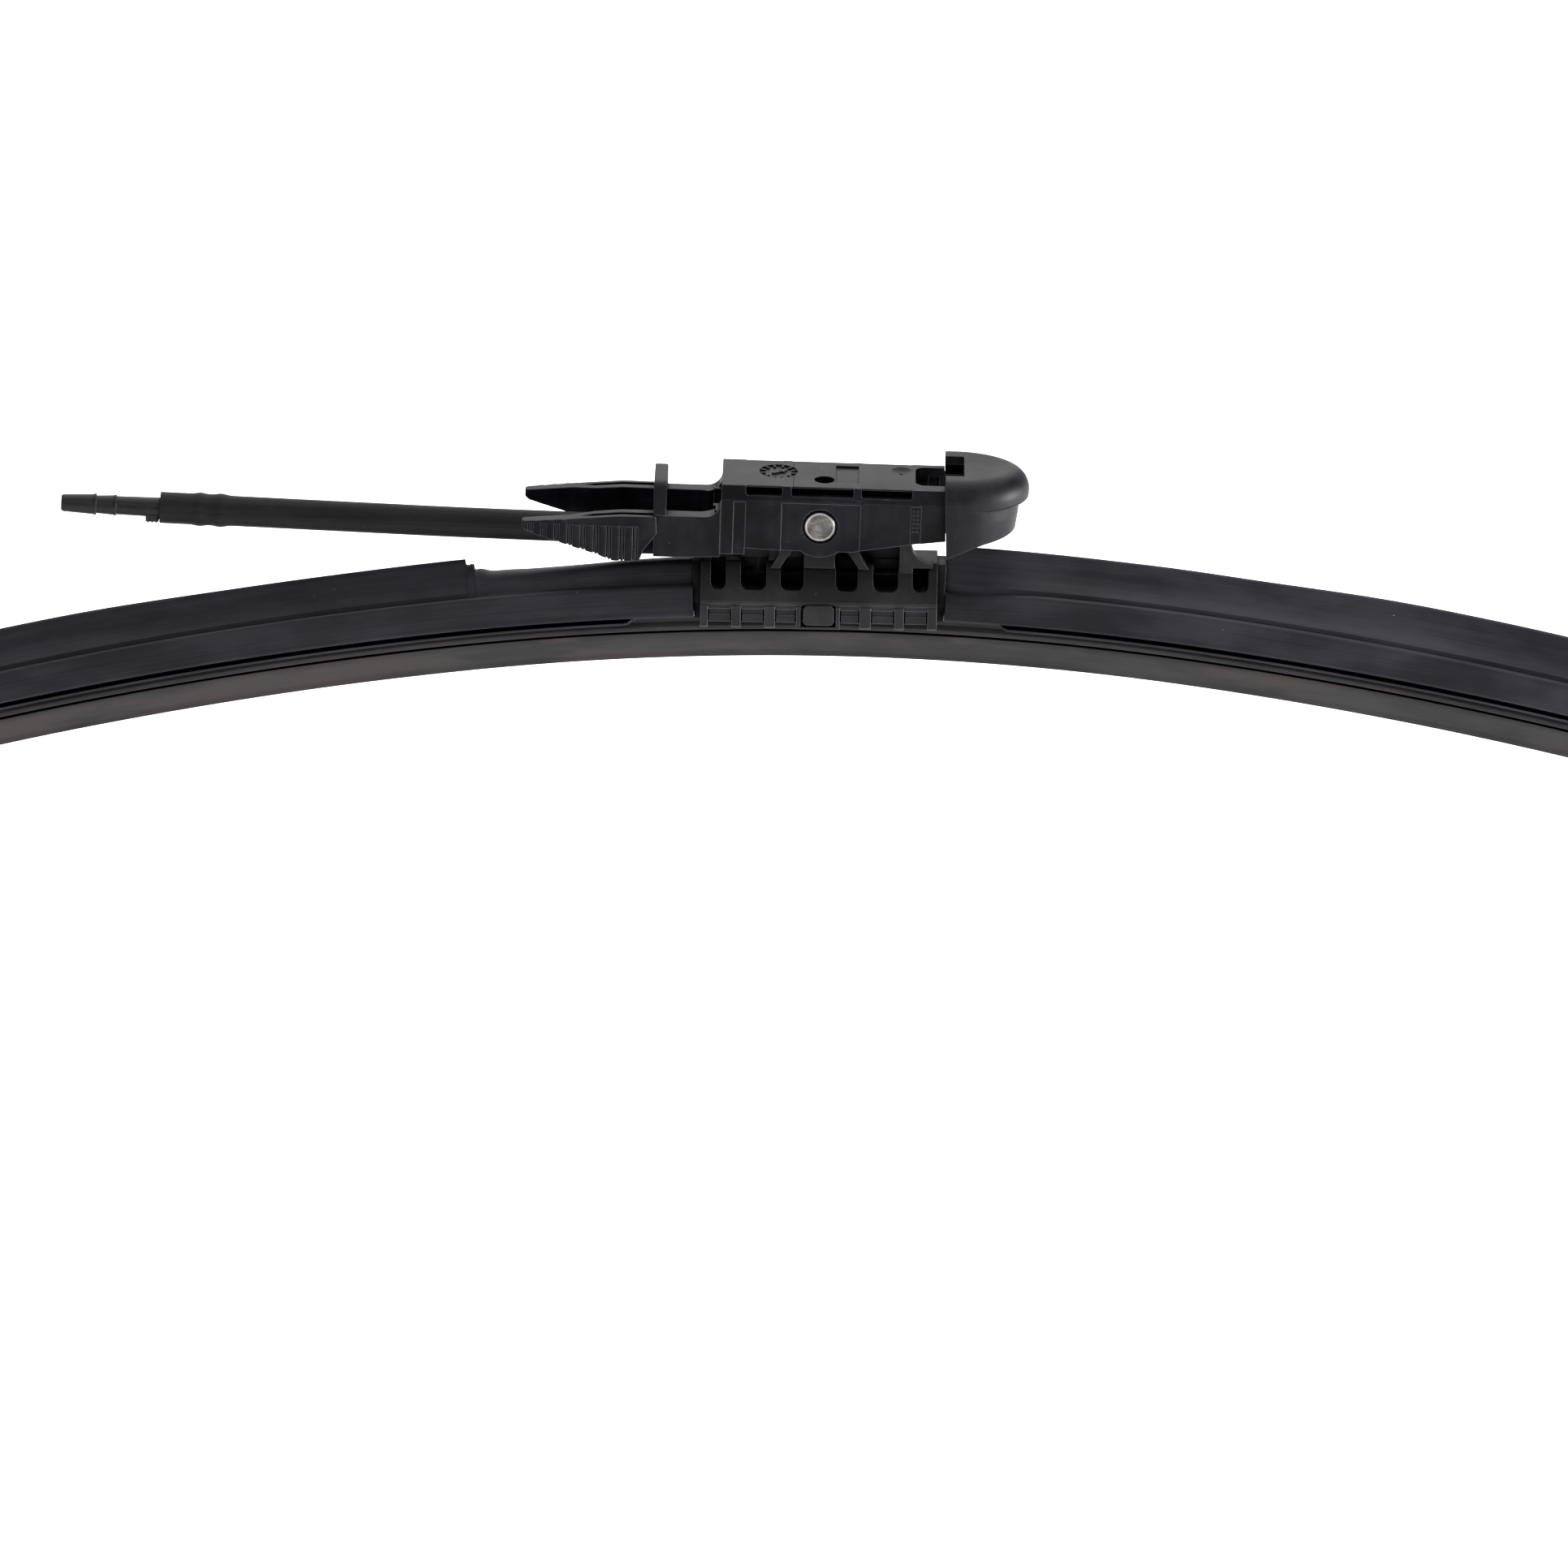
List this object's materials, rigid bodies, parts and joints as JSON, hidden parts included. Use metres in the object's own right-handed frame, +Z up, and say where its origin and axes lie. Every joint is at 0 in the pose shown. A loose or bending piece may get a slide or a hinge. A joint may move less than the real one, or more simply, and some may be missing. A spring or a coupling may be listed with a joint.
{
  "type": "windshield wiper assembly",
  "caption": "Flat beam wiper blade that swings on an arm adapter, with squeeze-release levers, a nose cap, a wind spoiler and a barbed washer hose.",
  "frame": {"origin": "centre of the pivot pin, midway between its ends", "axes": "+X along the blade towards the nose cap, -Y the front with the hollow face of the fin, +Z up, away from the glass"},
  "size_m": [0.5848, 0.0194, 0.1103],
  "materials": {
    "adapter_plastic": "moulded acetal, fine satin",
    "cap_plastic": "moulded, smooth satin",
    "bracket_plastic": "moulded, satin",
    "clamp_plastic": "moulded, satin",
    "end_cap_plastic": "moulded, fine grain",
    "fluid_plastic": "moulded, slightly glossy",
    "spoiler_rubber": "extruded, matte",
    "lip_rubber": "graphite-coated, matte grey",
    "hose_rubber": "extruded, matte",
    "rail_steel": "rolled spring steel",
    "pin_steel": "bright, scratched ends"
  },
  "bodies": {
    "adapter": {"adapter_body": "adapter_plastic", "nose_cap": "cap_plastic"},
    "blade": {"center_bracket": "bracket_plastic", "pivot_pin": "pin_steel", "rail_clamp_front": "clamp_plastic", "rail_clamp_rear": "clamp_plastic", "washer_manifold": "fluid_plastic", "washer_hose": "hose_rubber", "hose_connector": "fluid_plastic", "spoiler_left": "spoiler_rubber", "spoiler_right": "spoiler_rubber", "rail_front": "rail_steel", "rail_rear": "rail_steel", "rubber_element": "lip_rubber", "end_cap_left": "end_cap_plastic", "end_cap_right": "end_cap_plastic", "duct_plug_left": "fluid_plastic", "duct_plug_right": "fluid_plastic"},
    "lever_front": {"lever_front": "adapter_plastic", "hoop_front": "adapter_plastic"},
    "lever_rear": {"lever_rear": "adapter_plastic", "hoop_rear": "adapter_plastic"}
  },
  "joints": [
    {"name": "blade_swing", "type": "hinge", "parent": "adapter", "child": "blade", "pos_m": [0, 0, 0], "axis": [0, 1, 0], "range_deg": [-7, 8]},
    {"name": "front_lever_squeeze", "type": "hinge", "parent": "adapter", "child": "lever_front", "pos_m": [-0.016, -0.0048, 0], "axis": [0, 0, -1], "range_deg": [0, 3], "stiffness_Nm_per_rad": 0.5},
    {"name": "rear_lever_squeeze", "type": "hinge", "parent": "adapter", "child": "lever_rear", "pos_m": [-0.016, 0.0048, 0], "axis": [0, 0, 1], "range_deg": [0, 3], "stiffness_Nm_per_rad": 0.5}
  ],
  "couplings": [
    {"joint": "rear_lever_squeeze", "follows": "front_lever_squeeze", "ratio": 1}
  ]
}
